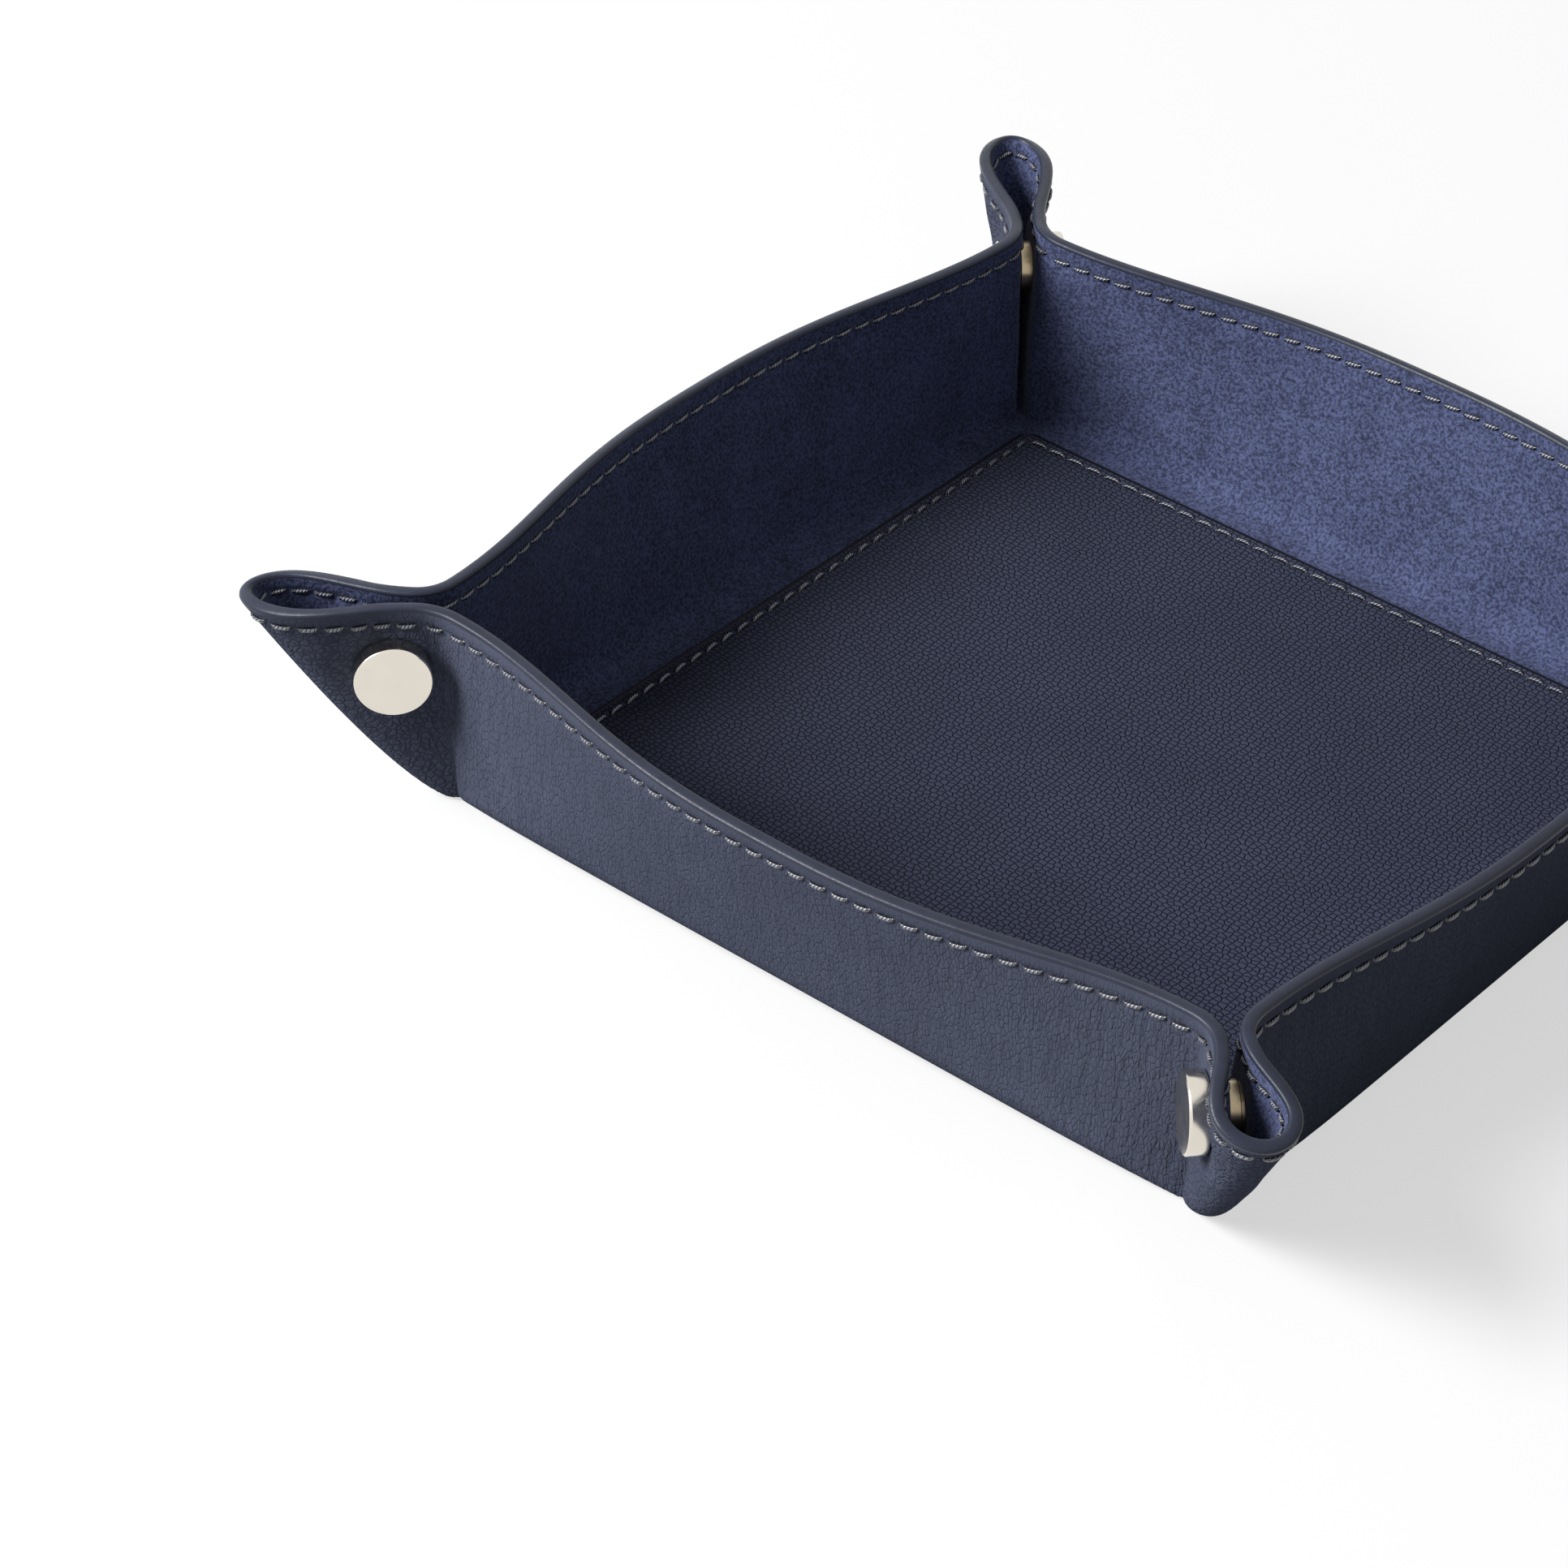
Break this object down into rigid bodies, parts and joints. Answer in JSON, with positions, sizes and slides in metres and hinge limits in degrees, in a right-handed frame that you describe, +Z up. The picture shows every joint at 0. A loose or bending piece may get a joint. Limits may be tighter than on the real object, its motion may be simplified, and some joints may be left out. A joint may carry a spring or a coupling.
{
  "type": "valet tray",
  "caption": "Square lined leather valet tray with pinched snap corners; unsnapped, its walls and corner ears fold out flat.",
  "frame": {"origin": "centre of the flat base, on the table", "axes": "+Z up out of the tray, +X to the right wall, -Y to the front wall that carries two of the caps"},
  "size_m": [0.1906, 0.1906, 0.0385],
  "materials": {
    "navy_leather": "fine pebbled grain, satin",
    "navy_suede": "suede nap, matt",
    "fibre_board": "pressed leather fibre board",
    "polished_nickel": "polished pale nickel plate",
    "spring_steel": "bright drawn wire"
  },
  "bodies": {
    "base": {"base_leather": "navy_leather", "base_lining": "navy_suede", "base_board": "fibre_board", "base_panel": "navy_leather"},
    "front_wall": {"front_wall_leather": "navy_leather", "front_wall_lining": "navy_suede"},
    "back_wall": {"back_wall_leather": "navy_leather", "back_wall_lining": "navy_suede"},
    "left_wall": {"left_wall_leather": "navy_leather", "left_wall_lining": "navy_suede"},
    "right_wall": {"right_wall_leather": "navy_leather", "right_wall_lining": "navy_suede"},
    "back_right_ear": {"back_right_ear_leather": "navy_leather", "back_right_ear_lining": "navy_suede", "snap_cap_back_right": "polished_nickel", "snap_socket_back_right": "polished_nickel", "snap_spring_back_right": "spring_steel"},
    "right_back_ear": {"right_back_ear_leather": "navy_leather", "right_back_ear_lining": "navy_suede", "snap_stud_back_right": "polished_nickel", "snap_rivet_back_right": "polished_nickel"},
    "back_left_ear": {"back_left_ear_leather": "navy_leather", "back_left_ear_lining": "navy_suede", "snap_cap_back_left": "polished_nickel", "snap_socket_back_left": "polished_nickel", "snap_spring_back_left": "spring_steel"},
    "left_back_ear": {"left_back_ear_leather": "navy_leather", "left_back_ear_lining": "navy_suede", "snap_stud_back_left": "polished_nickel", "snap_rivet_back_left": "polished_nickel"},
    "front_left_ear": {"front_left_ear_leather": "navy_leather", "front_left_ear_lining": "navy_suede", "snap_cap_front_left": "polished_nickel", "snap_socket_front_left": "polished_nickel", "snap_spring_front_left": "spring_steel"},
    "left_front_ear": {"left_front_ear_leather": "navy_leather", "left_front_ear_lining": "navy_suede", "snap_stud_front_left": "polished_nickel", "snap_rivet_front_left": "polished_nickel"},
    "front_right_ear": {"front_right_ear_leather": "navy_leather", "front_right_ear_lining": "navy_suede", "snap_cap_front_right": "polished_nickel", "snap_socket_front_right": "polished_nickel", "snap_spring_front_right": "spring_steel"},
    "right_front_ear": {"right_front_ear_leather": "navy_leather", "right_front_ear_lining": "navy_suede", "snap_stud_front_right": "polished_nickel", "snap_rivet_front_right": "polished_nickel"}
  },
  "joints": [
    {"name": "front_wall_fold", "type": "hinge", "parent": "base", "child": "front_wall", "pos_m": [0, -0.0744, 0.0015], "axis": [1, 0, 0], "range_deg": [0, 72]},
    {"name": "back_wall_fold", "type": "hinge", "parent": "base", "child": "back_wall", "pos_m": [0, 0.0744, 0.0015], "axis": [-1, 0, 0], "range_deg": [0, 72]},
    {"name": "left_wall_fold", "type": "hinge", "parent": "base", "child": "left_wall", "pos_m": [-0.0744, 0, 0.0015], "axis": [0, -1, 0], "range_deg": [0, 72]},
    {"name": "right_wall_fold", "type": "hinge", "parent": "base", "child": "right_wall", "pos_m": [0.0744, 0, 0.0015], "axis": [0, 1, 0], "range_deg": [0, 72]},
    {"name": "back_right_ear_swing", "type": "hinge", "parent": "back_wall", "child": "back_right_ear", "pos_m": [0.0744, 0.0744, 0.0015], "axis": [0.074, -0.0064, -0.9972], "range_deg": [0, 35.1]},
    {"name": "back_right_crease", "type": "hinge", "parent": "back_right_ear", "child": "right_back_ear", "pos_m": [0.0744, 0.0744, 0.0015], "axis": [0.5124, 0.5124, 0.6891], "range_deg": [0, 137.46]},
    {"name": "back_left_ear_swing", "type": "hinge", "parent": "back_wall", "child": "back_left_ear", "pos_m": [-0.0744, 0.0744, 0.0015], "axis": [0.074, 0.0064, 0.9972], "range_deg": [0, 35.1]},
    {"name": "back_left_crease", "type": "hinge", "parent": "back_left_ear", "child": "left_back_ear", "pos_m": [-0.0744, 0.0744, 0.0015], "axis": [0.5124, -0.5124, -0.6891], "range_deg": [0, 137.46]},
    {"name": "front_left_ear_swing", "type": "hinge", "parent": "front_wall", "child": "front_left_ear", "pos_m": [-0.0744, -0.0744, 0.0015], "axis": [-0.074, 0.0064, -0.9972], "range_deg": [0, 35.1]},
    {"name": "front_left_crease", "type": "hinge", "parent": "front_left_ear", "child": "left_front_ear", "pos_m": [-0.0744, -0.0744, 0.0015], "axis": [-0.5124, -0.5124, 0.6891], "range_deg": [0, 137.46]},
    {"name": "front_right_ear_swing", "type": "hinge", "parent": "front_wall", "child": "front_right_ear", "pos_m": [0.0744, -0.0744, 0.0015], "axis": [-0.074, -0.0064, 0.9972], "range_deg": [0, 35.1]},
    {"name": "front_right_crease", "type": "hinge", "parent": "front_right_ear", "child": "right_front_ear", "pos_m": [0.0744, -0.0744, 0.0015], "axis": [-0.5124, 0.5124, -0.6891], "range_deg": [0, 137.46]}
  ],
  "couplings": [
    {"joint": "back_wall_fold", "follows": "front_wall_fold", "ratio": 1},
    {"joint": "left_wall_fold", "follows": "front_wall_fold", "ratio": 1},
    {"joint": "right_wall_fold", "follows": "front_wall_fold", "ratio": 1},
    {"joint": "back_right_ear_swing", "follows": "front_wall_fold", "ratio": 0.48611},
    {"joint": "back_right_crease", "follows": "front_wall_fold", "ratio": 1.9063},
    {"joint": "back_left_ear_swing", "follows": "front_wall_fold", "ratio": 0.48611},
    {"joint": "back_left_crease", "follows": "front_wall_fold", "ratio": 1.9063},
    {"joint": "front_left_ear_swing", "follows": "front_wall_fold", "ratio": 0.48611},
    {"joint": "front_left_crease", "follows": "front_wall_fold", "ratio": 1.9063},
    {"joint": "front_right_ear_swing", "follows": "front_wall_fold", "ratio": 0.48611},
    {"joint": "front_right_crease", "follows": "front_wall_fold", "ratio": 1.9063}
  ]
}
